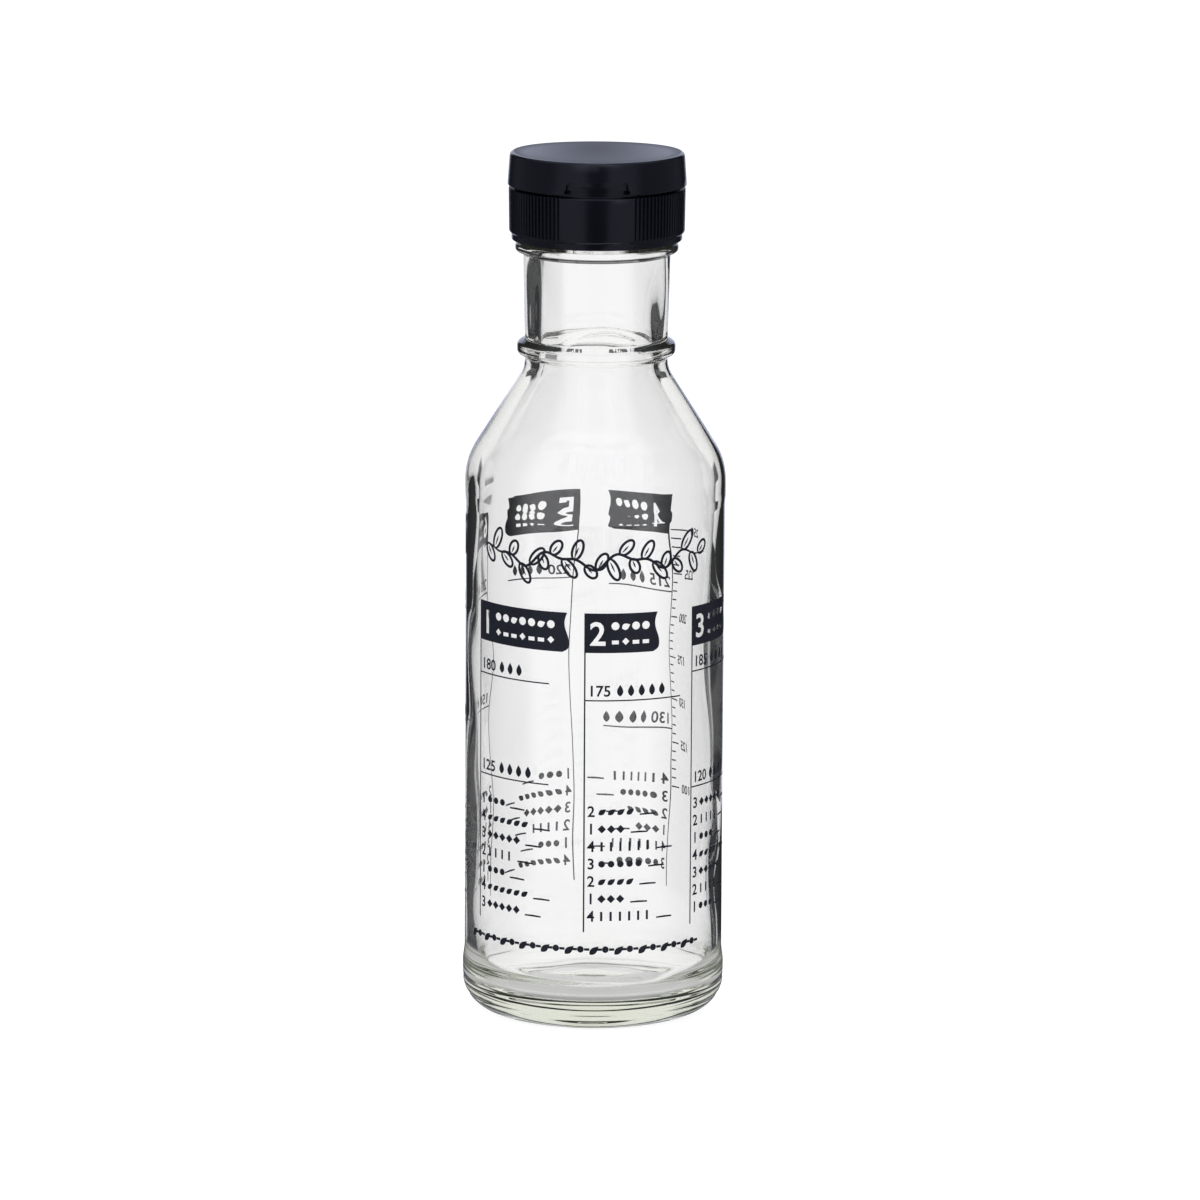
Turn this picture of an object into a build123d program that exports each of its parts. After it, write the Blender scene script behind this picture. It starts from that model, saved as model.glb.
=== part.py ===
from build123d import *
import math
import os

# A clear glass dressing bottle with a black screw cap whose top flips open.
# Everything is in millimetres. The bottle's axis is Z, the surface it stands on is Z = 0,
# and the thumb notch of the lid faces -Y, so the lid's hinge is at the back, on the +Y side.

# Driving dimensions: glass bottle, outside
bottle_height = 192.3
heel_radius = 30.7
heel_rounding = 7.8
heel_top_height = 11.5
label_radius = 30.3
label_bottom_height = 14.5
label_top_height = 120.5
shoulder_bead_radius = 30.5
shoulder_bead_height = 123.0
shoulder_corner_height = 130.8
shoulder_rounding = 16.5
neck_foot_height = 152.5
neck_radius = 16.66
neck_foot_rounding = 7.0
neck_ring_lift = 4.9
neck_ring_radius = 18.47
neck_ring_width = 4.4
neck_top_radius = 17.15
transfer_bead_radius = 19.0
transfer_bead_drop = 11.3
transfer_bead_width = 3.0
finish_radius = 16.7
lip_rounding = 0.8
soft_rounding = 8.0

# Driving dimensions: glass bottle, underside and inside
push_up_height = 3.0
push_up_radius = 12.5
bearing_inner_radius = 18.8
push_up_rounding = 6.0
bearing_rounding = 1.2
wall_thickness = 2.6
shoulder_wall_thickness = 2.7
floor_height = 6.8
floor_crown = 1.4
floor_flat_radius = 14.0
floor_rounding = 8.0
bore_radius = 14.0
inner_shoulder_rounding = 14.0
inner_neck_rounding = 9.0

# Driving dimensions: screw thread between glass and cap, one start, right handed
thread_pitch = 25.4 / 6
thread_turns = 1.25
bottle_thread_radius = 17.9
bottle_thread_lift = 1.9
bottle_thread_root_width = 2.2
bottle_thread_crest_width = 1.1
cap_thread_radius = 17.15
cap_thread_lift = 1.55
cap_thread_root_width = 1.9
cap_thread_crest_width = 0.9
thread_flank_clearance = 0.1
thread_sink = 0.3

# Driving dimensions: sealing ring
liner_thickness = 1.0
liner_inner_radius = 13.2
liner_clearance = 0.15

# Driving dimensions: cap base
cap_bead_clearance = 0.25
cap_thread_clearance = 0.25
cap_band_radius = 19.85
cap_band_height = 1.5
cap_flare_height = 0.5
cap_skirt_bottom_radius = 20.42
cap_skirt_top_radius = 20.55
deck_thickness = 1.6
spout_bore_radius = 8.0
spout_wall = 1.2
spout_height = 3.4
lock_ring_radius = 18.5
lock_ring_wall = 1.0
lock_ring_height = 2.5
lock_ring_gap_half_width = 10.5
lock_ring_gap_clearance = 1.2
edge_rounding = 0.3

# Driving dimensions: grip ribs
rib_count = 120
groove_depth = 0.35
groove_width = 0.56
groove_floor_width = 0.3
front_angle = 270.0
back_angle = 90.0
front_panel_half_angle = 24.0
rib_foot_clearance = 0.3

# Driving dimensions: flip lid
lid_gap = 0.6
lid_skirt_height = 7.7
lid_bottom_radius = 20.83
lid_top_radius = 20.3
lid_wall = 1.53
lid_rim_rounding = 1.0
dish_radius = 19.2
dish_depth = 1.4
lid_top_thickness = 1.5
lid_root_sink = 0.75
plug_clearance = 0.07
plug_wall = 1.0
plug_engagement = 2.0
plug_lead_in = 0.4
catch_clearance = 0.2
catch_height = 0.7
catch_tip_height = 0.23
catch_half_angle = 14.0
catch_lift = 0.9

# Driving dimensions: thumb notch
notch_bottom_width = 15.1
notch_top_width = 13.9
notch_height = 3.1
notch_slope_height = 1.2
notch_depth = 1.0
notch_edge_depth = 0.25
notch_lip_lift = 1.2

# Driving dimensions: hinge
hinge_back_distance = 18.3
hinge_lift = 2.2
knuckle_radius = 1.7
knuckle_half_width = 3.0
hinge_side_clearance = 0.3
ear_width = 3.9
ear_foot_sink = 0.8
hinge_pin_radius = 0.9
hinge_pin_clearance = 0.05
hinge_pin_length = 2.2
hinge_pin_end_clearance = 0.4
hinge_window_clearance = 0.4
back_flat_distance = 19.7
web_back_reach = 1.4

# Derived places
neck_ring_height = neck_foot_height + neck_ring_lift
transfer_bead_height = bottle_height - transfer_bead_drop
liner_radius = cap_thread_radius - liner_clearance
cap_bore_radius = bottle_thread_radius + cap_thread_clearance
cap_bottom = transfer_bead_height + transfer_bead_width / 2 + cap_bead_clearance
bottle_thread_start = transfer_bead_height + transfer_bead_width / 2 + bottle_thread_lift
cap_thread_start = cap_bottom + cap_thread_lift
cap_flare_bottom = cap_bottom + cap_band_height
cap_flare_top = cap_flare_bottom + cap_flare_height
deck_bottom = bottle_height + liner_thickness
deck_top = deck_bottom + deck_thickness
spout_radius = spout_bore_radius + spout_wall
spout_top = deck_top + spout_height
lid_bottom = deck_top + lid_gap
lid_top = lid_bottom + lid_skirt_height
lid_ceiling = lid_top - dish_depth - lid_top_thickness
lid_bore_radius = lid_bottom_radius - lid_wall
hinge_height = deck_top + hinge_lift
ear_inner = knuckle_half_width + hinge_side_clearance
ear_outer = ear_inner + ear_width
window_half_width = ear_outer + hinge_window_clearance
body_bore_radius = label_radius - wall_thickness


def place(shape, x=0.0, y=0.0, z=0.0):
    return Pos(x, y, z) * shape


def turned_solid(corners):
    """One solid turned about Z from its half section, given as (radius, height, corner rounding)."""
    points = [(radius, height) for radius, height, _ in corners]
    roundings = [rounding for _, _, rounding in corners]
    outline = FilletPolyline(*points, radius=roundings, close=True)
    return revolve(Plane.XZ * make_face(outline), Axis.Z)


def block(x_range, y_range, z_range):
    """A box given by its lowest and highest places along each axis."""
    sizes = [high - low for low, high in (x_range, y_range, z_range)]
    middles = [(high + low) / 2 for low, high in (x_range, y_range, z_range)]
    return place(Box(*sizes), *middles)


def crosswise_rod(radius, x_low, x_high, y, z):
    """A round rod along X."""
    rod = Cylinder(radius, x_high - x_low, rotation=(0, 90, 0))
    return place(rod, (x_low + x_high) / 2, y, z)


def thread_ridge(root_radius, crest_radius, root_width, crest_width, start_height):
    """A one-start right-handed ridge of trapezoid section, starting on the +X side."""
    middle_radius = (root_radius + crest_radius) / 2
    path = Helix(thread_pitch, thread_pitch * thread_turns, middle_radius)
    section = Polyline(
        (root_radius, -root_width / 2),
        (crest_radius, -crest_width / 2),
        (crest_radius, crest_width / 2),
        (root_radius, root_width / 2),
        close=True,
    )
    ridge = sweep(Plane.XZ * make_face(section), path=path, is_frenet=True)
    return place(ridge, z=start_height)


def width_at(root_radius, crest_radius, root_width, crest_width, radius):
    """The width of a thread ridge at one radius between its root and its crest."""
    share = (radius - root_radius) / (crest_radius - root_radius)
    return root_width + share * (crest_width - root_width)


def angle_between(first, second):
    """The smaller angle between two directions round the axis, in degrees."""
    turn = abs(first - second) % 360
    return min(turn, 360 - turn)


# Glass bottle: one blown piece, with the thread and the two beads moulded on its neck.
def make_bottle():
    slope_height = neck_foot_height - shoulder_corner_height
    slope = (shoulder_bead_radius - neck_radius) / slope_height
    wall_across_slope = shoulder_wall_thickness * math.hypot(1, slope)
    inner_cone_radius = shoulder_bead_radius - wall_across_slope
    inner_shoulder = shoulder_corner_height + (inner_cone_radius - body_bore_radius) / slope
    inner_neck_foot = shoulder_corner_height + (inner_cone_radius - bore_radius) / slope
    ring_rise = neck_ring_width / 4
    bead_rise = transfer_bead_width / 4
    glass = turned_solid(
        [
            (0, push_up_height, 0),
            (push_up_radius, push_up_height, push_up_rounding),
            (bearing_inner_radius, 0, bearing_rounding),
            (heel_radius, 0, heel_rounding),
            (heel_radius, heel_top_height, soft_rounding),
            (label_radius, label_bottom_height, soft_rounding),
            (label_radius, label_top_height, soft_rounding),
            (shoulder_bead_radius, shoulder_bead_height, soft_rounding),
            (shoulder_bead_radius, shoulder_corner_height, shoulder_rounding),
            (neck_radius, neck_foot_height, neck_foot_rounding),
            (neck_radius, neck_ring_height - 2 * ring_rise, ring_rise / 2),
            (neck_ring_radius, neck_ring_height - ring_rise, ring_rise),
            (neck_ring_radius, neck_ring_height + ring_rise, ring_rise),
            (neck_radius, neck_ring_height + 2 * ring_rise, ring_rise / 2),
            (neck_top_radius, transfer_bead_height - 2 * bead_rise, bead_rise / 2),
            (transfer_bead_radius, transfer_bead_height - bead_rise, bead_rise),
            (transfer_bead_radius, transfer_bead_height + bead_rise, bead_rise),
            (finish_radius, transfer_bead_height + 2 * bead_rise, bead_rise / 2),
            (finish_radius, bottle_height, lip_rounding),
            (bore_radius, bottle_height, lip_rounding),
            (bore_radius, inner_neck_foot, inner_neck_rounding),
            (body_bore_radius, inner_shoulder, inner_shoulder_rounding),
            (body_bore_radius, floor_height, floor_rounding),
            (floor_flat_radius, floor_height, floor_rounding),
            (0, floor_height + floor_crown, 0),
        ]
    )
    sunk_root = finish_radius - thread_sink
    sunk_width = width_at(
        finish_radius,
        bottle_thread_radius,
        bottle_thread_root_width,
        bottle_thread_crest_width,
        sunk_root,
    )
    ridge = thread_ridge(
        sunk_root,
        bottle_thread_radius,
        sunk_width,
        bottle_thread_crest_width,
        bottle_thread_start,
    )
    return glass + ridge


# Sealing ring: a flat ring of soft foam, held between the glass lip and the deck of the cap.
def make_liner():
    return turned_solid(
        [
            (liner_inner_radius, bottle_height, 0),
            (liner_radius, bottle_height, 0),
            (liner_radius, deck_bottom, 0),
            (liner_inner_radius, deck_bottom, 0),
        ]
    )


# The ridge inside the cap hangs just under the ridge on the glass and pulls the cap down.
def make_cap_thread():
    glass_width = width_at(
        finish_radius,
        bottle_thread_radius,
        bottle_thread_root_width,
        bottle_thread_crest_width,
        cap_thread_radius,
    )
    drop = (glass_width + cap_thread_crest_width) / 2 + thread_flank_clearance
    drop_angle = (cap_thread_start + drop - bottle_thread_start) / thread_pitch * 360
    sunk_root = cap_bore_radius + thread_sink
    sunk_width = width_at(
        cap_bore_radius,
        cap_thread_radius,
        cap_thread_root_width,
        cap_thread_crest_width,
        sunk_root,
    )
    ridge = thread_ridge(
        sunk_root,
        cap_thread_radius,
        sunk_width,
        cap_thread_crest_width,
        cap_thread_start,
    )
    return Rot(0, 0, drop_angle) * ridge


# Grip grooves: upright cuts all round the skirt, left out on the front panel and the back flat.
def make_grip_grooves():
    groove_bottom = cap_flare_top + rib_foot_clearance
    floor_radius = cap_skirt_bottom_radius - groove_depth
    open_radius = cap_skirt_top_radius + groove_depth
    open_width = groove_floor_width + (groove_width - groove_floor_width) * (
        (open_radius - floor_radius) / groove_depth
    )
    section = Polyline(
        (floor_radius, -groove_floor_width / 2),
        (open_radius, -open_width / 2),
        (open_radius, open_width / 2),
        (floor_radius, groove_floor_width / 2),
        close=True,
    )
    groove = extrude(make_face(section), deck_top + lid_gap - groove_bottom)
    groove = place(groove, z=groove_bottom)
    pitch_angle = 360 / rib_count
    back_half_angle = math.degrees(math.atan2(window_half_width, back_flat_distance)) + pitch_angle
    grooves = []
    for number in range(rib_count):
        angle = (number + 0.5) * pitch_angle
        off_front = angle_between(angle, front_angle) > front_panel_half_angle
        off_back = angle_between(angle, back_angle) > back_half_angle
        if off_front and off_back:
            grooves.append(Rot(0, 0, angle) * groove)
    return grooves


# Cap base: ribbed skirt with the thread inside, deck with the pouring spout, ring wall, hinge ears.
def make_cap_base():
    base = turned_solid(
        [
            (cap_bore_radius, cap_bottom, edge_rounding),
            (cap_band_radius, cap_bottom, edge_rounding),
            (cap_band_radius, cap_flare_bottom, edge_rounding),
            (cap_skirt_bottom_radius, cap_flare_top, 2 * edge_rounding),
            (cap_skirt_top_radius, deck_top, edge_rounding),
            (lock_ring_radius, deck_top, edge_rounding / 2),
            (lock_ring_radius, deck_top + lock_ring_height, edge_rounding),
            (lock_ring_radius - lock_ring_wall, deck_top + lock_ring_height, edge_rounding),
            (lock_ring_radius - lock_ring_wall, deck_top, edge_rounding),
            (spout_radius, deck_top, edge_rounding),
            (spout_radius, spout_top, edge_rounding),
            (spout_bore_radius, spout_top, edge_rounding),
            (spout_bore_radius, deck_bottom, 0),
            (cap_bore_radius, deck_bottom, edge_rounding),
        ]
    )
    base = base + make_cap_thread()
    ring_gap = block(
        (-lock_ring_gap_half_width, lock_ring_gap_half_width),
        (spout_radius + lock_ring_gap_clearance, lid_bottom_radius),
        (deck_top, lid_ceiling),
    )
    base = base - ring_gap
    for side in (-1, 1):
        x_range = sorted((side * ear_inner, side * ear_outer))
        ear = crosswise_rod(knuckle_radius, *x_range, hinge_back_distance, hinge_height)
        ear_foot = block(
            x_range,
            (hinge_back_distance - knuckle_radius, hinge_back_distance + knuckle_radius),
            (deck_top - ear_foot_sink, hinge_height),
        )
        ear = (ear + ear_foot) & place(Cylinder(cap_skirt_bottom_radius, hinge_height), z=deck_top)
        pin_reach = ear_inner + hinge_pin_length - hinge_side_clearance + hinge_pin_end_clearance
        socket_range = sorted((0, side * pin_reach))
        socket = crosswise_rod(
            hinge_pin_radius + hinge_pin_clearance,
            *socket_range,
            hinge_back_distance,
            hinge_height,
        )
        base = base + ear - socket
    back_flat = block(
        (-window_half_width, window_half_width),
        (back_flat_distance, 2 * lid_bottom_radius),
        (cap_flare_top, hinge_height + 2 * knuckle_radius),
    )
    return base - back_flat - make_grip_grooves()


# The thumb notch: a shallow scoop in the front of the lid's skirt, wider at its lower edge.
def make_notch_cutters():
    scoop_radius = lid_bottom_radius - notch_depth
    scoop_top = lid_bottom + notch_height
    outside = lid_bottom_radius + notch_depth
    scoop = turned_solid(
        [
            (scoop_radius, lid_bottom - notch_depth, 0),
            (outside, lid_bottom - notch_depth, 0),
            (outside, scoop_top, 0),
            (lid_bottom_radius - notch_edge_depth, scoop_top, 0),
            (scoop_radius, scoop_top - notch_slope_height, notch_slope_height / 2),
        ]
    )
    front = Polyline(
        (-notch_bottom_width / 2, lid_bottom),
        (notch_bottom_width / 2, lid_bottom),
        (notch_top_width / 2, scoop_top),
        (-notch_top_width / 2, scoop_top),
        close=True,
    )
    front_prism = extrude(Plane.XZ * make_face(front), 2 * lid_bottom_radius)
    lip_gap = block(
        (-notch_bottom_width / 2, notch_bottom_width / 2),
        (-outside, -lid_bottom_radius / 2),
        (lid_bottom - notch_lip_lift, lid_bottom + notch_lip_lift),
    )
    return [scoop & front_prism, lip_gap]


# Flip lid: dished disc with a tapered skirt, a plug that closes the spout, and a hinge knuckle.
def make_flip_lid():
    lid = turned_solid(
        [
            (0, lid_ceiling, 0),
            (lid_bore_radius - edge_rounding, lid_ceiling, 2 * edge_rounding),
            (lid_bore_radius, lid_bottom, edge_rounding / 2),
            (lid_bottom_radius, lid_bottom, edge_rounding),
            (lid_top_radius, lid_top, lid_rim_rounding),
            (0, lid_top, 0),
        ]
    )
    dish_ball_radius = (dish_radius**2 + dish_depth**2) / (2 * dish_depth)
    dish_ball = place(Sphere(dish_ball_radius), z=lid_top + dish_ball_radius - dish_depth)
    lid = lid - dish_ball
    plug_radius = spout_bore_radius - plug_clearance
    plug_bottom = spout_top - plug_engagement
    lid = lid + turned_solid(
        [
            (plug_radius - plug_wall, plug_bottom, edge_rounding),
            (plug_radius, plug_bottom, plug_lead_in),
            (plug_radius, lid_ceiling + lid_root_sink, 0),
            (plug_radius - plug_wall, lid_ceiling + lid_root_sink, 0),
        ]
    )
    catch_radius = lock_ring_radius + catch_clearance
    catch_bottom = lid_bottom + catch_lift
    catch_middle = catch_bottom + catch_height / 2
    catch = turned_solid(
        [
            (catch_radius, catch_middle - catch_tip_height / 2, 0),
            (lid_bore_radius + edge_rounding, catch_bottom, 0),
            (lid_bore_radius + edge_rounding, catch_bottom + catch_height, 0),
            (catch_radius, catch_middle + catch_tip_height / 2, 0),
        ]
    )
    catch_half_width = catch_radius * math.sin(math.radians(catch_half_angle))
    catch_span = block(
        (-catch_half_width, catch_half_width),
        (-lid_bottom_radius, 0),
        (catch_bottom, catch_bottom + catch_height),
    )
    lid = lid + (catch & catch_span)
    for cutter in make_notch_cutters():
        lid = lid - cutter
    window = block(
        (-window_half_width, window_half_width),
        (hinge_back_distance - 2 * knuckle_radius, 2 * lid_bottom_radius),
        (lid_bottom - lid_gap, lid_ceiling),
    )
    lid = lid - window
    knuckle = crosswise_rod(
        knuckle_radius,
        -knuckle_half_width,
        knuckle_half_width,
        hinge_back_distance,
        hinge_height,
    )
    web = block(
        (-knuckle_half_width, knuckle_half_width),
        (hinge_back_distance - knuckle_radius, hinge_back_distance + web_back_reach),
        (hinge_height, lid_ceiling + lid_root_sink),
    )
    pin_end = knuckle_half_width + hinge_pin_length
    pins = crosswise_rod(hinge_pin_radius, -pin_end, pin_end, hinge_back_distance, hinge_height)
    return lid + knuckle + web + pins


os.makedirs("parts", exist_ok=True)
export_step(make_bottle(), "parts/bottle.step")
export_step(make_liner(), "parts/cap_liner.step")
export_step(make_cap_base(), "parts/cap_base.step")
export_step(make_flip_lid(), "parts/flip_lid.step")
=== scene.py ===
import math

import bmesh
import bpy
from mathutils import Matrix, Vector


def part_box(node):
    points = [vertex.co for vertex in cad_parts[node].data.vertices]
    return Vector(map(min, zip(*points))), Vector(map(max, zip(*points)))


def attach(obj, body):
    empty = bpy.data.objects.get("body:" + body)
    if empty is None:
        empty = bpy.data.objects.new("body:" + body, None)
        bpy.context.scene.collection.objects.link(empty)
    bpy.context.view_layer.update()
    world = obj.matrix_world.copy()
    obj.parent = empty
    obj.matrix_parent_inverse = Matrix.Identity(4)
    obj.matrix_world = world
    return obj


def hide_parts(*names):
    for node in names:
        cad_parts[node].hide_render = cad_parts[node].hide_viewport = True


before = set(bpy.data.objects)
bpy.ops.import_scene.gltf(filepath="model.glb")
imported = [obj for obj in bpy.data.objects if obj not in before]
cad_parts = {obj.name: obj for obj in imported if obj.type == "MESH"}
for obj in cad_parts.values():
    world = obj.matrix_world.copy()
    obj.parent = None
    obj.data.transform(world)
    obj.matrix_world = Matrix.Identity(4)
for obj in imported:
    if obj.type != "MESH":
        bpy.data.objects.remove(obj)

# The viewpoint: a long lens a little above the cap, looking down at the bottle on its table.
# Lengths are in metres. The bottle stands on Z = 0 and its front, with the thumb notch, faces -Y.
scene = bpy.context.scene
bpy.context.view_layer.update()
LENS_PIXELS = 7977.5
PHOTO_PIXELS = 1200
VIEWPOINT = (0.0012, -1.8341, 0.4561)
LOOKS_DOWN_BY = 11.07
LEANS_BY = 0.33
camera = bpy.data.objects.new("viewpoint", bpy.data.cameras.new("viewpoint"))
camera.data.sensor_width = 36
camera.data.lens = LENS_PIXELS / PHOTO_PIXELS * camera.data.sensor_width
camera.data.clip_end = 60
camera.matrix_world = (
    Matrix.Translation(VIEWPOINT)
    @ Matrix.Rotation(math.radians(90 - LOOKS_DOWN_BY), 4, "X")
    @ Matrix.Rotation(math.radians(LEANS_BY), 4, "Z")
)
scene.collection.objects.link(camera)
scene.camera = camera

# The bottle: clear soda-lime glass, blown in one piece in a mould. The outside is true to the
# mould, and the inside, which only air has shaped, is a little uneven. A screw thread runs round
# the finish under the cap. The whole skin is turned from one section by Geometry Nodes.
MM = 0.001
PANEL_RADIUS = 30.3
FINISH_RADIUS = 16.7
INSIDE_OF_NECK = 14.0
LIP_HEIGHT = 192.3
GLASS_SECTION = [  # radius, height and rounding of each corner, and 1 once the line is inside
    (0, 3.0, 0, 0),  # the push-up under the base
    (12.5, 3.0, 6.0, 0),
    (18.8, 0, 1.2, 0),  # the ring that it stands on, and the heel
    (30.7, 0, 7.8, 0),
    (30.7, 11.5, 8.0, 0),
    (PANEL_RADIUS, 14.5, 8.0, 0),  # the label panel
    (PANEL_RADIUS, 120.5, 8.0, 0),
    (30.5, 123.0, 8.0, 0),  # the shoulder
    (30.5, 130.8, 16.5, 0),
    (16.66, 152.5, 7.0, 0),  # the top of the cone
    (16.66, 155.2, 0.55, 0),  # the neck ring
    (18.47, 156.3, 1.1, 0),
    (18.47, 158.5, 1.1, 0),
    (16.66, 159.6, 0.55, 0),
    (17.15, 179.5, 0.375, 0),  # the transfer bead under the cap
    (19.0, 180.25, 0.75, 0),
    (19.0, 181.75, 0.75, 0),
    (FINISH_RADIUS, 182.5, 0.375, 0),  # the finish, with the thread
    (FINISH_RADIUS, LIP_HEIGHT, 0.8, 0),
    (INSIDE_OF_NECK, LIP_HEIGHT, 0.8, 1),  # down the inside
    (INSIDE_OF_NECK, 151.3, 9.0, 1),
    (27.7, 130.0, 14.0, 1),
    (27.7, 6.8, 8.0, 1),
    (14.0, 6.8, 8.0, 1),
    (0, 8.2, 0, 1),
]
ARC_STEP = math.radians(5)
HEEL_STEP = math.radians(2.5)
LONGEST_STEP = 1.6
THREAD_STEP = 0.25
NECK_STEP = 0.55
TURNING_STEPS = 168


class Flow:
    """One output of a node. Sums written with it add Math nodes, and make() adds any other node."""

    def __init__(self, socket):
        self.socket = socket

    @staticmethod
    def make(tree, kind, settings=(), inputs=(), output=0):
        node = tree.nodes.new(kind)
        for name, value in dict(settings).items():
            if name == "stops":
                while len(node.color_ramp.elements) < len(value):
                    node.color_ramp.elements.new(0.5)
                for element, (place, colour) in zip(node.color_ramp.elements, value):
                    element.position = place
                    element.color = colour
            else:
                setattr(node, name, value)
        for name, value in dict(inputs).items():
            if isinstance(value, Flow):
                tree.links.new(value.socket, node.inputs[name])
            else:
                node.inputs[name].default_value = value
        return Flow(node.outputs[output])

    def node(self, kind, settings=(), inputs=(), output=0):
        return Flow.make(self.socket.id_data, kind, settings, inputs, output)

    def math(self, operation, *others):
        values = dict(enumerate((self, *others)))
        return self.node("ShaderNodeMath", {"operation": operation}, values)

    def other(self, number, operation):
        return self.node("ShaderNodeMath", {"operation": operation}, {0: number, 1: self})

    def __add__(self, other):
        return self.math("ADD", other)

    def __sub__(self, other):
        return self.math("SUBTRACT", other)

    def __mul__(self, other):
        return self.math("MULTIPLY", other)

    def __truediv__(self, other):
        return self.math("DIVIDE", other)

    def __radd__(self, number):
        return self.math("ADD", number)

    def __rmul__(self, number):
        return self.math("MULTIPLY", number)

    def __rsub__(self, number):
        return self.other(number, "SUBTRACT")

    def __rtruediv__(self, number):
        return self.other(number, "DIVIDE")

    def between(self, low, high, smooth=True):
        """0 below low, 1 above high, and a soft step from one to the other."""
        settings = {"interpolation_type": "SMOOTHSTEP" if smooth else "LINEAR"}
        return self.node("ShaderNodeMapRange", settings, {0: self, 1: low, 2: high})

    def mixed(self, first, second):
        """The first colour where this is 0 and the second where it is 1."""
        settings = {"data_type": "RGBA"}
        return self.node("ShaderNodeMix", settings, {0: self, 6: first, 7: second}, 2)


def new_material(name):
    """A material with an empty node tree, and that tree."""
    material = bpy.data.materials.new(name)
    material.use_nodes = True
    material.node_tree.nodes.clear()
    return material, material.node_tree


def surface(tree, shader, volume=None):
    """Joins a shader, and one for the inside where there is one, to the material's output."""
    node = tree.nodes.new("ShaderNodeOutputMaterial")
    tree.links.new(shader.socket, node.inputs["Surface"])
    if volume:
        tree.links.new(volume.socket, node.inputs["Volume"])


def rounded_section(corners):
    """Points along a half section with rounded corners, as (radius, height, tag of the stretch)."""
    points = []
    flat = [Vector((r, z)) for r, z, *_ in corners]
    for number, (_, _, rounding, tag) in enumerate(corners):
        here = flat[number]
        on_heel = tag == 0 and here.y < 1 and rounding > 7.5
        if not rounding:
            points.append((here, tag))
            continue
        back = (flat[number - 1] - here).normalized()
        on = (flat[(number + 1) % len(flat)] - here).normalized()
        half_angle = back.angle(on) / 2
        centre = here + (back + on).normalized() * (rounding / math.sin(half_angle))
        start = here + back * (rounding / math.tan(half_angle)) - centre
        end = here + on * (rounding / math.tan(half_angle)) - centre
        turn = start.angle_signed(end)
        steps = max(2, math.ceil(abs(turn) / (HEEL_STEP if on_heel else ARC_STEP)))
        for step in range(steps + 1):
            spin = Matrix.Rotation(-turn * step / steps, 2)
            points.append((centre + spin @ start, tag))
    dense = [points[0]]
    for (first, _), (second, tag) in zip(points, points[1:]):
        upright = abs(second.x - first.x) < 0.1
        in_thread = tag == 0 and min(first.y, second.y) > 182 and upright
        in_neck = tag == 1 and first.x < INSIDE_OF_NECK + 0.1 and upright
        step = THREAD_STEP if in_thread else NECK_STEP if in_neck else LONGEST_STEP
        parts = max(1, math.ceil((second - first).length / step))
        dense += [(first.lerp(second, part / parts), tag) for part in range(1, parts + 1)]
    return [(p.x * MM, p.y * MM, tag) for p, tag in dense]


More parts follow.
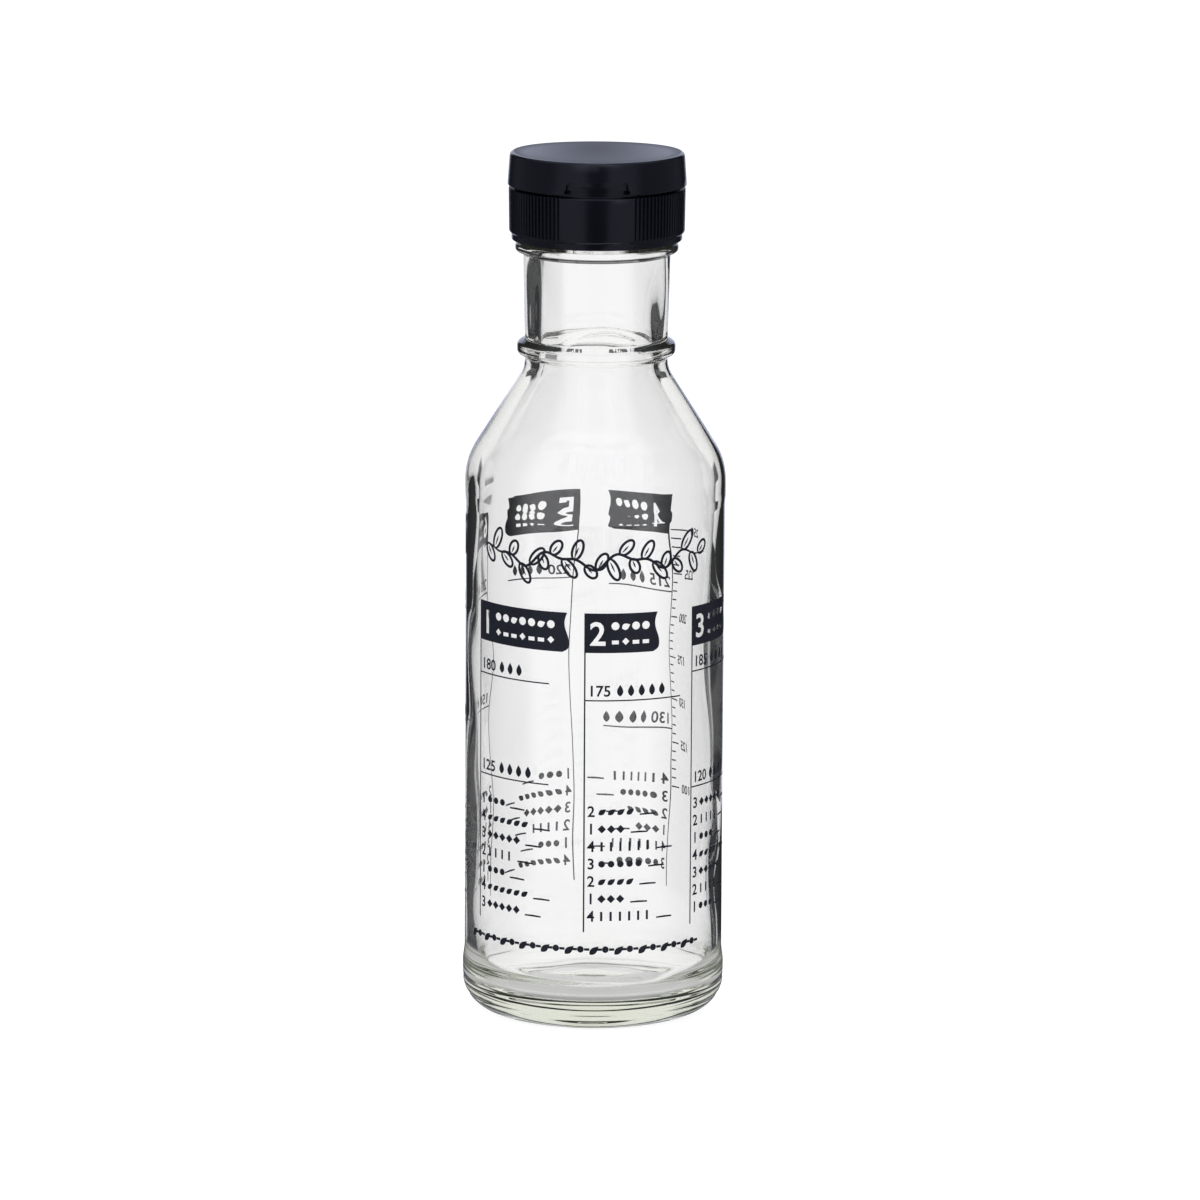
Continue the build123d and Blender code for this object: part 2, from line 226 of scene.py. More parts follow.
def turning_tree():
    """Geometry Nodes that turn a section about Z.

    They make the inside uneven, with a fold in the neck. Outside they cut the two parting lines
    of the base plate and raise the screw thread.
    """
    tree = bpy.data.node_groups.new("turned glass", "GeometryNodeTree")
    face = tree.interface
    face.new_socket("Section", in_out="INPUT", socket_type="NodeSocketGeometry")
    numbers = {}
    for name, kind in (
        ("Rows", "Int"),
        ("Columns", "Int"),
        ("Unevenness", "Float"),
        ("Wave Size", "Float"),
        ("Waves Upright", "Float"),
        ("Ripple Seed", "Float"),
        ("Parting Height", "Float"),
        ("Parting Rise", "Float"),
        ("Parting Width", "Float"),
        ("Parting Depth", "Float"),
        ("Fold Height", "Float"),
        ("Fold Turn", "Float"),
        ("Fold Sway", "Float"),
        ("Fold Width", "Float"),
        ("Fold Depth", "Float"),
        ("Thread Start", "Float"),
        ("Thread Pitch", "Float"),
        ("Thread Turns", "Float"),
        ("Thread Height", "Float"),
        ("Thread Root Width", "Float"),
        ("Thread Crest Width", "Float"),
    ):
        socket_type = "NodeSocket" + kind
        numbers[name] = face.new_socket(name, in_out="INPUT", socket_type=socket_type).identifier
    numbers["Glass"] = face.new_socket(
        "Glass", in_out="INPUT", socket_type="NodeSocketMaterial"
    ).identifier
    face.new_socket("Skin", in_out="OUTPUT", socket_type="NodeSocketGeometry")
    entry = tree.nodes.new("NodeGroupInput")
    given = {socket.name: Flow(socket) for socket in entry.outputs if socket.name}
    columns = given["Columns"]
    grid = Flow.make(
        tree,
        "GeometryNodeMeshGrid",
        {},
        {"Size X": 1.0, "Size Y": 1.0, "Vertices X": given["Rows"], "Vertices Y": columns + 1},
    )
    index = Flow.make(tree, "GeometryNodeInputIndex")
    row = (index / (columns + 1)).math("FLOOR")
    column = index - row * (columns + 1)
    angle = column * (2 * math.pi) / columns

    def along_section(data_type, value):
        return Flow.make(
            tree,
            "GeometryNodeSampleIndex",
            {"data_type": data_type},
            {"Geometry": given["Section"], "Value": value, "Index": row},
        )

    place = along_section("FLOAT_VECTOR", Flow.make(tree, "GeometryNodeInputPosition"))
    inside = along_section(
        "FLOAT",
        Flow.make(
            tree, "GeometryNodeInputNamedAttribute", {"data_type": "FLOAT"}, {"Name": "inside"}
        ),
    )
    apart = place.node("ShaderNodeSeparateXYZ", {}, {0: place})
    radius = apart
    height = Flow(apart.socket.node.outputs["Z"])
    ring = radius.node(
        "ShaderNodeCombineXYZ",
        {},
        {
            "X": angle.math("COSINE") / given["Wave Size"] * -1,
            "Y": angle.math("SINE") / given["Wave Size"],
            "Z": height / given["Wave Size"] * given["Waves Upright"] + given["Ripple Seed"],
        },
    )
    ripple = ring.node(
        "ShaderNodeTexNoise",
        {"noise_dimensions": "3D"},
        {"Vector": ring, "Scale": 1.0, "Detail": 1.0, "Roughness": 0.45},
    )
    uneven = (ripple - 0.5) * inside * given["Unevenness"]
    to_front = 0 - (angle - given["Fold Turn"]).math("SINE")
    fold_line = given["Fold Height"] - (1 - to_front) * given["Fold Sway"]
    fold_gap = (height - fold_line).math("ABSOLUTE")
    fold = 1 - fold_gap.between(0, given["Fold Width"])
    fold = fold * to_front.between(0.74, 0.86) * given["Fold Depth"]
    turns_up = (height - given["Thread Start"]) / given["Thread Pitch"]
    lap = (turns_up - angle / (2 * math.pi)).math("ROUND")
    run = lap + angle / (2 * math.pi)
    offset = (turns_up - run).math("ABSOLUTE") * given["Thread Pitch"] * 2
    ridge = 1 - offset.between(given["Thread Crest Width"], given["Thread Root Width"])
    last_turn = given["Thread Turns"]
    ends = run.between(-0.02, 0.05) * (1 - run.between(last_turn - 0.05, last_turn + 0.02))
    threaded = radius.between(0.01665, 0.01668) * (1 - radius.between(0.01672, 0.01675))
    in_finish = height.between(0.1826, 0.1828) * (1 - inside)
    raised = ridge * ends * threaded * in_finish * given["Thread Height"]
    gap = (height - given["Parting Height"]).math("ABSOLUTE")
    upper_gap = (height - given["Parting Height"] - given["Parting Rise"]).math("ABSOLUTE")
    parting = 1 - gap.math("MINIMUM", upper_gap).between(0, given["Parting Width"])
    parting = parting * radius.between(0.0284, 0.0286) * given["Parting Depth"]
    wide = radius + uneven - fold * inside - parting + raised
    spun = wide.node(
        "ShaderNodeCombineXYZ",
        {},
        {"X": wide * angle.math("COSINE"), "Y": wide * angle.math("SINE"), "Z": height},
    )
    moved = Flow.make(
        tree, "GeometryNodeSetPosition", {}, {"Geometry": grid, "Position": spun}
    )
    closed = Flow.make(
        tree, "GeometryNodeMergeByDistance", {}, {"Geometry": moved, "Distance": 0.000002}
    )
    smooth = Flow.make(tree, "GeometryNodeSetShadeSmooth", {}, {"Geometry": closed})
    whole = Flow.make(tree, "GeometryNodeRealizeInstances", {}, {"Geometry": smooth})
    faced = Flow.make(
        tree, "GeometryNodeSetMaterial", {}, {"Geometry": whole, "Material": given["Glass"]}
    )
    tree.links.new(faced.socket, tree.nodes.new("NodeGroupOutput").inputs[0])
    return tree, numbers


def plain_mesh(holder, name):
    """The evaluated mesh of an object, as an object of its own at the origin."""
    bpy.context.view_layer.update()
    evaluated = holder.evaluated_get(bpy.context.evaluated_depsgraph_get())
    mesh = bpy.data.meshes.new_from_object(evaluated)
    mesh.name = name
    bpy.data.objects.remove(holder)
    piece = bpy.data.objects.new(name, mesh)
    scene.collection.objects.link(piece)
    return piece


def grown(tree, numbers, settings, mesh, name):
    """Runs a Geometry Nodes tree on a mesh with these inputs and keeps the plain result."""
    holder = bpy.data.objects.new(name + "_blank", mesh)
    scene.collection.objects.link(holder)
    modifier = holder.modifiers.new("make", "NODES")
    modifier.node_group = tree
    for label, value in settings.items():
        modifier[numbers[label]] = value
    return plain_mesh(holder, name)


def close_and_face_out(piece, distance=0.000002):
    """Merges doubled points and turns every face outwards."""
    shape = bmesh.new()
    shape.from_mesh(piece.data)
    bmesh.ops.remove_doubles(shape, verts=shape.verts, dist=distance)
    bmesh.ops.dissolve_degenerate(shape, edges=shape.edges, dist=distance / 4)
    bmesh.ops.recalc_face_normals(shape, faces=shape.faces)
    shape.to_mesh(piece.data)
    shape.free()


glass, tree = new_material("clear_glass")
# Rays that go on turning back inside the thick base would end black. They get a faint painted glow,
# which the glass itself emits. The glow is full in the base and fades out above it.
rays = Flow.make(tree, "ShaderNodeLightPath")
turned_back_glow = Flow(rays.socket.node.outputs["Glossy Depth"]).between(2.4, 2.6, smooth=False)
spot = Flow.make(tree, "ShaderNodeTexCoord", {}, {}, 3)
height = Flow(spot.node("ShaderNodeSeparateXYZ", {}, {0: spot}).socket.node.outputs["Z"])
turned_back_glow = turned_back_glow * (0.08 + 0.92 * (1 - height.between(0.01, 0.018)))
body_glass = Flow.make(
    tree,
    "ShaderNodeBsdfPrincipled",
    {},
    {
        "Base Color": (1, 1, 1, 1),
        "Roughness": 0.0,
        "IOR": 1.52,
        "Transmission Weight": 1.0,
        "Emission Color": turned_back_glow.mixed((0, 0, 0, 1), (0.1, 0.104, 0.092, 1)),
        "Emission Strength": 1.0,
    },
)
tint = Flow.make(
    tree, "ShaderNodeVolumeAbsorption", {}, {"Color": (0.55, 0.59, 0.36, 1), "Density": 10.0}
)
surface(tree, body_glass, tint)

section = rounded_section(GLASS_SECTION)
section_mesh = bpy.data.meshes.new("glass_section")
section_mesh.from_pydata(
    [(radius, 0, height) for radius, height, _ in section],
    [(number, number + 1) for number in range(len(section) - 1)],
    [],
)
UNEVEN_FROM = 12.0 * MM
UNEVEN_TO = 188.0 * MM
inside = section_mesh.attributes.new("inside", "FLOAT", "POINT")
shaped_by_air = [float(tag and UNEVEN_FROM < height < UNEVEN_TO) for _, height, tag in section]
inside.data.foreach_set("value", shaped_by_air)
turning, turning_inputs = turning_tree()
bottle = grown(
    turning,
    turning_inputs,
    {
        "Rows": len(section),
        "Columns": TURNING_STEPS,
        "Unevenness": 0.0018,
        "Wave Size": 0.9,
        "Waves Upright": 22.0,
        "Ripple Seed": 3.0,
        "Parting Height": 3.9 * MM,
        "Parting Rise": 3.5 * MM,
        "Parting Width": 0.8 * MM,
        "Parting Depth": 0.16 * MM,
        "Fold Height": 163.2 * MM,
        "Fold Turn": 0.12,
        "Fold Sway": 15.0 * MM,
        "Fold Width": 0.9 * MM,
        "Fold Depth": 0.11 * MM,
        "Thread Start": 184.4 * MM,
        "Thread Pitch": 25.4 / 6 * MM,
        "Thread Turns": 1.25,
        "Thread Height": 1.2 * MM,
        "Thread Root Width": 2.2 * MM,
        "Thread Crest Width": 1.1 * MM,
        "Glass": glass,
    },
    section_mesh,
    "clear_bottle",
)
close_and_face_out(bottle)
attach(bottle, "bottle")
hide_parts("bottle")

# The print: dark navy enamel, screened on the label panel in one pass and fired on. It counts
# doses with plain numbers, marks and level lines between upright rules, under a leafy border.
# Everything is drawn flat, as millimetres round the glass and up it, and then laid on the glass.
INK_GAP = 0.012
INK_THICKNESS = 0.025
CUT_STEP = 0.9
PRINT_SKEW = -0.008
FONT_SIZE_PER_HEIGHT = 1.38
SMALL_FIGURES = 2.6
LEVEL_LINE = 0.32


def along(degrees):
    """Millimetres round the glass from the middle of its front, for an angle seen from above."""
    return math.radians(degrees) * PANEL_RADIUS


class Drawing:
    """Flat faces of ink, later bent round the glass."""

    def __init__(self):
        self.shape = bmesh.new()

    def face(self, points):
        self.shape.faces.new([self.shape.verts.new((x, y, 0)) for x, y in points])

    def bar(self, x, y, width, height):
        self.face([(x, y), (x + width, y), (x + width, y + height), (x, y + height)])

    def dot(self, x, y, radius, sides=12):
        corners = []
        for side in range(sides):
            turn = 2 * math.pi * side / sides
            corners.append((x + radius * math.cos(turn), y + radius * math.sin(turn)))
        self.face(corners)

    def leaf(self, x, y, length, width, heading, steps=9):
        """A pointed leaf that starts at x, y and points along heading, in degrees."""
        ahead = Vector((math.cos(math.radians(heading)), math.sin(math.radians(heading))))
        side = Vector((-ahead.y, ahead.x))
        edge = []
        for step in range(steps + 1):
            share = step / steps
            swell = math.sin(math.pi * share**0.8) * width / 2
            edge.append((Vector((x, y)) + ahead * length * share, side * swell))
        outline = [middle + out for middle, out in edge]
        outline += [middle - out for middle, out in reversed(edge[1:-1])]
        self.face([tuple(point) for point in outline])

    def stroke(self, points, width, taper=0.35):
        """A pen line through these points, thinner at its ends."""
        points = [Vector(point) for point in points]
        last = len(points) - 1
        rims = []
        for number, here in enumerate(points):
            course = (points[min(number + 1, last)] - points[max(number - 1, 0)]).normalized()
            side = Vector((-course.y, course.x))
            near_end = min(number, last - number) / max(1, 0.15 * last)
            half = width / 2 * (taper + (1 - taper) * min(1.0, near_end))
            rims.append((here + side * half, here - side * half))
        for (a, b), (c, d) in zip(rims, rims[1:]):
            self.face([tuple(b), tuple(d), tuple(c), tuple(a)])

    def number(self, text, x, y, height):
        """Plain figures, with their foot at x, y."""
        self.add(figure_mesh(text, height), x, y)

    def add(self, mesh, x=0.0, y=0.0):
        """Takes in a flat mesh, with its own origin at x, y."""
        first = len(self.shape.verts)
        self.shape.from_mesh(mesh)
        self.shape.verts.ensure_lookup_table()
        for vertex in self.shape.verts[first:]:
            vertex.co += Vector((x, y, 0))
        bpy.data.meshes.remove(mesh)


def figure_mesh(text, height):
    """Flat faces of plain figures, this tall and a little bolder than the font draws them."""
    curve = bpy.data.curves.new("figures", "FONT")
    curve.body = text
    curve.size = height * FONT_SIZE_PER_HEIGHT
    curve.offset = height * 0.025
    curve.resolution_u = 3
    return filled_mesh(curve)


def filled_mesh(curve):
    """The flat faces that fill a curve."""
    holder = bpy.data.objects.new("flat_curve", curve)
    scene.collection.objects.link(holder)
    bpy.context.view_layer.update()
    evaluated = holder.evaluated_get(bpy.context.evaluated_depsgraph_get())
    mesh = bpy.data.meshes.new_from_object(evaluated)
    bpy.data.objects.remove(holder)
    bpy.data.curves.remove(curve)
    return mesh


def outlines(mesh):
    """The edge loops round a flat mesh, as lists of points."""
    shape = bmesh.new()
    shape.from_mesh(mesh)
    bmesh.ops.remove_doubles(shape, verts=shape.verts, dist=0.0005)
    onward = {}
    for edge in shape.edges:
        if edge.is_boundary:
            loop = edge.link_loops[0]
            onward[loop.vert.index] = (loop.link_loop_next.vert.index, loop.vert.co.copy())
    loops = []
    while onward:
        number = next(iter(onward))
        points = []
        while number in onward:
            number, place = onward.pop(number)
            points.append((place.x, place.y))
        loops.append(points)
    shape.free()
    return loops


def pierced(outline, holes):
    """A flat mesh of an outline with holes in it."""
    curve = bpy.data.curves.new("pierced", "CURVE")
    curve.dimensions = "2D"
    curve.fill_mode = "BOTH"
    for loop in [outline, *holes]:
        spline = curve.splines.new("POLY")
        spline.points.add(len(loop) - 1)
        for point, (x, y) in zip(spline.points, loop):
            point.co = (x, y, 0, 1)
        spline.use_cyclic_u = True
    return filled_mesh(curve)


def shifted(loops, x, y):
    """The same loops, moved."""
    return [[(px + x, py + y) for px, py in loop] for loop in loops]


def flat_loops(draw):
    """The outlines of what draw() puts on a drawing."""
    sheet = Drawing()
    draw(sheet)
    mesh = bpy.data.meshes.new("loops")
    sheet.shape.to_mesh(mesh)
    loops = outlines(mesh)
    bpy.data.meshes.remove(mesh)
    sheet.shape.free()
    return loops


def wavy_tab(drawing, number, x, y, width, height=9.3, marks=8):
    """A dark tab with a torn right end. Its number and its marks are left clear."""
    torn = []
    for step in range(25):
        share = step / 24
        corner = max(0.0, 1 - share / 0.12)
        sway = 0.55 * math.sin(2 * math.pi * (share + 0.02)) - 1.1 * corner**2
        torn.append((x + width - 0.55 + sway, y + height * share))
    outline = [(x, y), *torn, (x, y + height)]
    figures = figure_mesh(str(number), height * 0.6)
    holes = shifted(outlines(figures), x + 1.2, y + height * 0.2)
    bpy.data.meshes.remove(figures)

    def symbols(sheet):
        for place in range(marks):
            left = x + 7.2 + 2.45 * place
            if left > x + width - 2.6:
                break
            if (place + number) % 3 == 0:
                sheet.leaf(left - 0.9, y + height * 0.62, 2.1, 1.5, 25)
            else:
                sheet.dot(left, y + height * 0.68, 0.95)
            if (place * 2 + number) % 3 == 1:
                sheet.dot(left, y + height * 0.29, 0.85, sides=4)
            else:
                sheet.bar(left - 0.8, y + height * 0.22, 1.6, 0.9)

    drawing.add(pierced(outline, holes + flat_loops(symbols)))


def level_line(drawing, x, y, width, figures, drops):
    """A level line with its number and as many drops above it."""
    drawing.bar(x, y, width, LEVEL_LINE)
    drawing.number(figures, x + 0.9, y + 1.2, SMALL_FIGURES)
    for drop in range(drops):
        left = x + 8.4 + 2.6 * drop
        drawing.leaf(left, y + 1.1, 2.8, 1.5, 90)


def dose_rows(drawing, x, top, rows, seed):
    """Rows of a number and its marks, one row for each thing that is added."""
    for row in range(rows):
        y = top - 4.15 * row
        dose = 1 + (seed * 5 + row * 3) % 4
        drawing.number(str(dose), x + 0.9, y, SMALL_FIGURES)
        kind = (seed + row) % 4
        left = x + 4.3
        for mark in range(dose + 2):
            if kind == 0:
                drawing.dot(left, y + 1.2, 0.8)
            elif kind == 1:
                drawing.leaf(left - 0.8, y + 0.5, 2.2, 1.25, 35)
            elif kind == 2:
                drawing.dot(left, y + 1.2, 1.0, sides=4)
            else:
                drawing.bar(left - 0.3, y + 0.1, 0.55, 2.2)
            left += 2.2
        dash = [(left + 0.2, y + 0.35), (left + 2.2, y + 0.4), (left + 4.4, y + 0.32)]
        drawing.stroke(dash, 0.45, 0.8)


def garland(drawing, start, end, middle, steps=220, leaves=22):
    """A swaying stem drawn with a pen, with open leaves on either side."""
    reach = end - start

    def stem(share):
        sway = 1.4 * math.sin(share * 22.4) + 0.8 * math.sin(share * 44.7 + 0.6)
        return Vector((start + reach * share, middle + sway))

    drawing.stroke([stem(step / steps) for step in range(steps + 1)], 0.65)
    for leaf in range(leaves):
        share = (leaf + 0.6) / (leaves + 0.4)
        foot = stem(share)
        side = 1 if leaf % 2 else -1
        heading = math.radians(side * (58 + 12 * math.sin(leaf * 2.3)))
        ahead = Vector((math.cos(heading), math.sin(heading)))
        across_leaf = Vector((-ahead.y, ahead.x))
        length = 4.4 + 0.9 * math.sin(leaf * 1.7)
        loop = []
        for step in range(25):
            turn = 2 * math.pi * step / 24
            out = (1 - math.cos(turn)) / 2
            loop.append(foot + ahead * length * out + across_leaf * 1.15 * math.sin(turn))
        drawing.stroke(loop, 0.62, 0.7)
        drawing.stroke([foot + ahead * length * s for s in (0.15, 0.4, 0.62)], 0.42)


def laid_on_glass(drawing, name):
    """Bends a flat drawing round the glass and gives the ink its thickness."""
    shape = drawing.shape
    reach = [vertex.co.x for vertex in shape.verts]
    cut = math.ceil(min(reach) / CUT_STEP) * CUT_STEP
    while cut < max(reach):
        bmesh.ops.bisect_plane(
            shape,
            geom=shape.verts[:] + shape.edges[:] + shape.faces[:],
            dist=0.0001,
            plane_co=(cut, 0, 0),
            plane_no=(1, 0, 0),
        )
        cut += CUT_STEP
    for face in shape.faces:
        if face.normal.z > 0:
            face.normal_flip()
    skin = shape.faces[:]
    flipped = bmesh.ops.extrude_face_region(shape, geom=skin)
    raised = {part for part in flipped["geom"] if isinstance(part, bmesh.types.BMVert)}
    for face in shape.faces:
        face.smooth = False
    for vertex in shape.verts:
        angle = vertex.co.x / PANEL_RADIUS
        radius = (PANEL_RADIUS + INK_GAP + (INK_THICKNESS if vertex in raised else 0)) * MM
        height = (vertex.co.y + vertex.co.x * PRINT_SKEW) * MM
        vertex.co = (radius * math.sin(angle), -radius * math.cos(angle), height)
    bmesh.ops.recalc_face_normals(shape, faces=shape.faces)
    mesh = bpy.data.meshes.new(name)
    shape.to_mesh(mesh)
    shape.free()
    piece = bpy.data.objects.new(name, mesh)
    scene.collection.objects.link(piece)
    piece.data.materials.append(ink)
    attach(piece, "bottle")
    return piece


ink, tree = new_material("navy_enamel")
spot = Flow.make(tree, "ShaderNodeTexCoord", {}, {}, 3)
mottle = spot.node("ShaderNodeTexNoise", {}, {"Vector": spot, "Scale": 900.0, "Detail": 3.0})
enamel = Flow.make(
    tree,
    "ShaderNodeBsdfPrincipled",
    {},
    {
        "Base Color": mottle.mixed((0.006, 0.007, 0.013, 1), (0.012, 0.014, 0.024, 1)),
        "Roughness": 0.3 + 0.2 * mottle,
    },
)
surface(tree, enamel)

RULES_FOOT = 24.5
DOSES_TOP = 52.0
REAR_DOSES_TOP = 49.0
# Each column: its angle, the foot and width of its tab, its level lines, and its rows of doses.
# A level line has a height, a length, its volume in millilitres, and a number of drops.
COLUMNS = [
    (-60.9, 90.7, 26.3, ((82.8, 21.5, "180", 3), (58.9, 21.5, "125", 4)), 7),
    (-4.5, 90.7, 18.0, ((79.3, 24.0, "175", 5),), 7),
    (47.9, 90.7, 19.0, ((84.5, 21.5, "185", 4), (57.0, 20.0, "120", 3)), 7),
    (141, 109.8, 18.2, ((96.0, 17.0, "215", 3), (62.0, 17.0, "130", 4)), 6),
    (190, 109.8, 19.0, ((98.5, 19.0, "220", 4),), 6),
    (244, 109.8, 18.4, ((97.0, 19.0, "215", 3), (70.0, 19.0, "150", 4)), 6),
]
rules = Drawing()
for degrees, *_ in COLUMNS[:3]:
    rules.bar(along(degrees), RULES_FOOT, 0.35, 75.0)
for degrees, *_ in COLUMNS[3:]:
    rules.bar(along(degrees), RULES_FOOT, 0.3, 93.0)
laid_on_glass(rules, "print_rules")

tabs = Drawing()
for number, (degrees, foot, width, *_) in enumerate(COLUMNS, 1):
    wavy_tab(tabs, number, along(degrees), foot, width)
laid_on_glass(tabs, "print_tabs")

levels = Drawing()
for degrees, foot, width, lines, rows in COLUMNS:
    for height, reach, figures, drops in lines:
        level_line(levels, along(degrees), height, reach, figures, drops)
laid_on_glass(levels, "print_levels")

doses = Drawing()
for seed, (degrees, foot, width, lines, rows) in enumerate(COLUMNS):
    dose_rows(doses, along(degrees), DOSES_TOP if seed < 3 else REAR_DOSES_TOP, rows, seed)
laid_on_glass(doses, "print_doses")

GARLAND_HEIGHT = 112.2
border = Drawing()
garland(border, along(-58), along(56), GARLAND_HEIGHT)
laid_on_glass(border, "print_garland")

FOOT_MARKS = 44
FOOT_MARK_STEP = 2.75
foot_row = Drawing()
for mark in range(FOOT_MARKS):
    place = along(-66 + FOOT_MARK_STEP * mark)
    if mark % 4 == 0:
        foot_row.leaf(place - 0.8, 19.2, 2.9, 1.5, 42)
    elif mark % 4 == 2:
        foot_row.dot(place, 20.4, 0.8)
    else:
        foot_row.bar(place - 0.6, 20.1, 1.25, 0.6)
laid_on_glass(foot_row, "print_foot_row")


# The volume scale, in the same ink, up the back of the glass beside the fourth column. Its marks
# stand 5 millilitres apart, and Geometry Nodes set them out.
def scale_tree():
    """Geometry Nodes that set out the marks of a scale: long ones, and short ones between."""
    tree = bpy.data.node_groups.new("scale marks", "GeometryNodeTree")
    face = tree.interface
    face.new_socket("Blank", in_out="INPUT", socket_type="NodeSocketGeometry")
    numbers = {}
    for name, kind in (
        ("Marks", "Int"),
        ("Long Every", "Int"),
        ("Step", "Float"),
        ("Long Length", "Float"),
        ("Short Length", "Float"),
        ("Line Width", "Float"),
        ("Ink", "Material"),
    ):
        socket_type = "NodeSocket" + kind
        numbers[name] = face.new_socket(name, in_out="INPUT", socket_type=socket_type).identifier
    face.new_socket("Flat Marks", in_out="OUTPUT", socket_type="NodeSocketGeometry")
    entry = tree.nodes.new("NodeGroupInput")
    given = {socket.name: Flow(socket) for socket in entry.outputs if socket.name}
    number = Flow.make(tree, "GeometryNodeInputIndex")
    short = number.math("MODULO", given["Long Every"]).between(0.4, 0.6, smooth=False)
    length = given["Long Length"] + (given["Short Length"] - given["Long Length"]) * short
    place = length.node(
        "ShaderNodeCombineXYZ", {}, {"X": length * -0.5, "Y": number * given["Step"]}
    )
    line = Flow.make(tree, "GeometryNodeMeshLine", {}, {"Count": given["Marks"]})
    spread = Flow.make(tree, "GeometryNodeSetPosition", {}, {"Geometry": line, "Position": place})
    unit_square = {"Size X": 1.0, "Size Y": 1.0, "Vertices X": 2, "Vertices Y": 2}
    mark = Flow.make(tree, "GeometryNodeMeshGrid", {}, unit_square)
    size = length.node(
        "ShaderNodeCombineXYZ", {}, {"X": length, "Y": given["Line Width"], "Z": 1.0}
    )
    at_places = {"Points": spread, "Instance": mark, "Scale": size}
    marks = Flow.make(tree, "GeometryNodeInstanceOnPoints", {}, at_places)
    whole = Flow.make(tree, "GeometryNodeRealizeInstances", {}, {"Geometry": marks})
    inked = Flow.make(
        tree, "GeometryNodeSetMaterial", {}, {"Geometry": whole, "Material": given["Ink"]}
    )
    tree.links.new(inked.socket, tree.nodes.new("NodeGroupOutput").inputs[0])
    return tree, numbers


FLOOR_OF_INSIDE = 7.2
RISE_PER_ML = 0.415
ML_PER_MARK = 5
LOWEST_VOLUME = 100
HIGHEST_VOLUME = 250
ML_PER_FIGURE = 25
FIGURE_HEIGHT = 2.2
volume_scale = Drawing()
scale_marks, scale_inputs = scale_tree()
blank = bpy.data.meshes.new("blank")
marks = grown(
    scale_marks,
    scale_inputs,
    {
        "Marks": (HIGHEST_VOLUME - LOWEST_VOLUME) // ML_PER_MARK + 1,
        "Long Every": ML_PER_FIGURE // ML_PER_MARK,
        "Step": ML_PER_MARK * RISE_PER_ML,
        "Long Length": 3.2,
        "Short Length": 1.7,
        "Line Width": LEVEL_LINE,
        "Ink": ink,
    },
    blank,
    "flat_marks",
)
marks_mesh = marks.data
bpy.data.objects.remove(marks)
scale_side = along(COLUMNS[3][0]) - 0.2
volume_scale.add(marks_mesh, scale_side, FLOOR_OF_INSIDE + LOWEST_VOLUME * RISE_PER_ML)
for volume in range(LOWEST_VOLUME, HIGHEST_VOLUME + 1, ML_PER_FIGURE):
    level = FLOOR_OF_INSIDE + volume * RISE_PER_ML
    volume_scale.number(str(volume), scale_side - 9.0, level - FIGURE_HEIGHT / 2, FIGURE_HEIGHT)
laid_on_glass(volume_scale, "print_volume_scale")

# The sealing ring: soft white foam, cut flat, held between the glass lip and the cap's deck.
foam, tree = new_material("liner_foam")
spot = Flow.make(tree, "ShaderNodeTexCoord", {}, {}, 3)
cells = spot.node("ShaderNodeTexNoise", {}, {"Vector": spot, "Scale": 5000.0, "Detail": 2.0})
shade = cells.mixed((0.76, 0.76, 0.74, 1), (0.86, 0.86, 0.84, 1))
dents = cells.node(
    "ShaderNodeBump", {}, {"Strength": 0.3, "Distance": 0.0001, "Height": cells}
)
surface(
    tree,
    Flow.make(
        tree,
        "ShaderNodeBsdfPrincipled",
        {},
        {"Base Color": shade, "Roughness": 0.8, "Normal": dents},
    ),
)


def smooth_copy(node, name, material, sharp_from=30):
    """A merged copy of a CAD node's mesh, smooth except at its sharp edges, that stands for it."""
    piece = bpy.data.objects.new(name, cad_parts[node].data.copy())
    scene.collection.objects.link(piece)
    shape = bmesh.new()
    shape.from_mesh(piece.data)
    bmesh.ops.remove_doubles(shape, verts=shape.verts, dist=0.000001)
    for face in shape.faces:
        face.smooth = True
    for edge in shape.edges:
        edge.smooth = edge.is_manifold and edge.calc_face_angle() < math.radians(sharp_from)
    shape.to_mesh(piece.data)
    shape.free()
    piece.data.materials.clear()
    piece.data.materials.append(material)
    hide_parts(node)
    return piece


sealing_ring = smooth_copy("cap_liner", "sealing_ring", foam)
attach(sealing_ring, "liner")

# The cap: black polypropylene, moulded in a polished tool with a satin skin. The base has grip
# ribs all round, a plain panel in front and the pouring spout on its deck.
plastic, tree = new_material("black_plastic")
spot = Flow.make(tree, "ShaderNodeTexCoord", {}, {}, 3)
grain = spot.node("ShaderNodeTexNoise", {}, {"Vector": spot, "Scale": 2600.0, "Detail": 2.0})
cloud = spot.node("ShaderNodeTexNoise", {}, {"Vector": spot, "Scale": 90.0, "Detail": 2.0})
tone = cloud.mixed((0.0024, 0.0028, 0.0052, 1), (0.0034, 0.0038, 0.0068, 1))
satin = Flow.make(
    tree,
    "ShaderNodeBsdfPrincipled",
    {},
    {
        "Base Color": tone,
        "Roughness": 0.15 + 0.05 * cloud + 0.02 * grain,
        "Normal": grain.node(
            "ShaderNodeBump", {}, {"Strength": 0.02, "Distance": 0.00002, "Height": grain}
        ),
    },
)
surface(tree, satin)
cap_base = smooth_copy("cap_base", "ribbed_cap_base", plastic)
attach(cap_base, "cap")

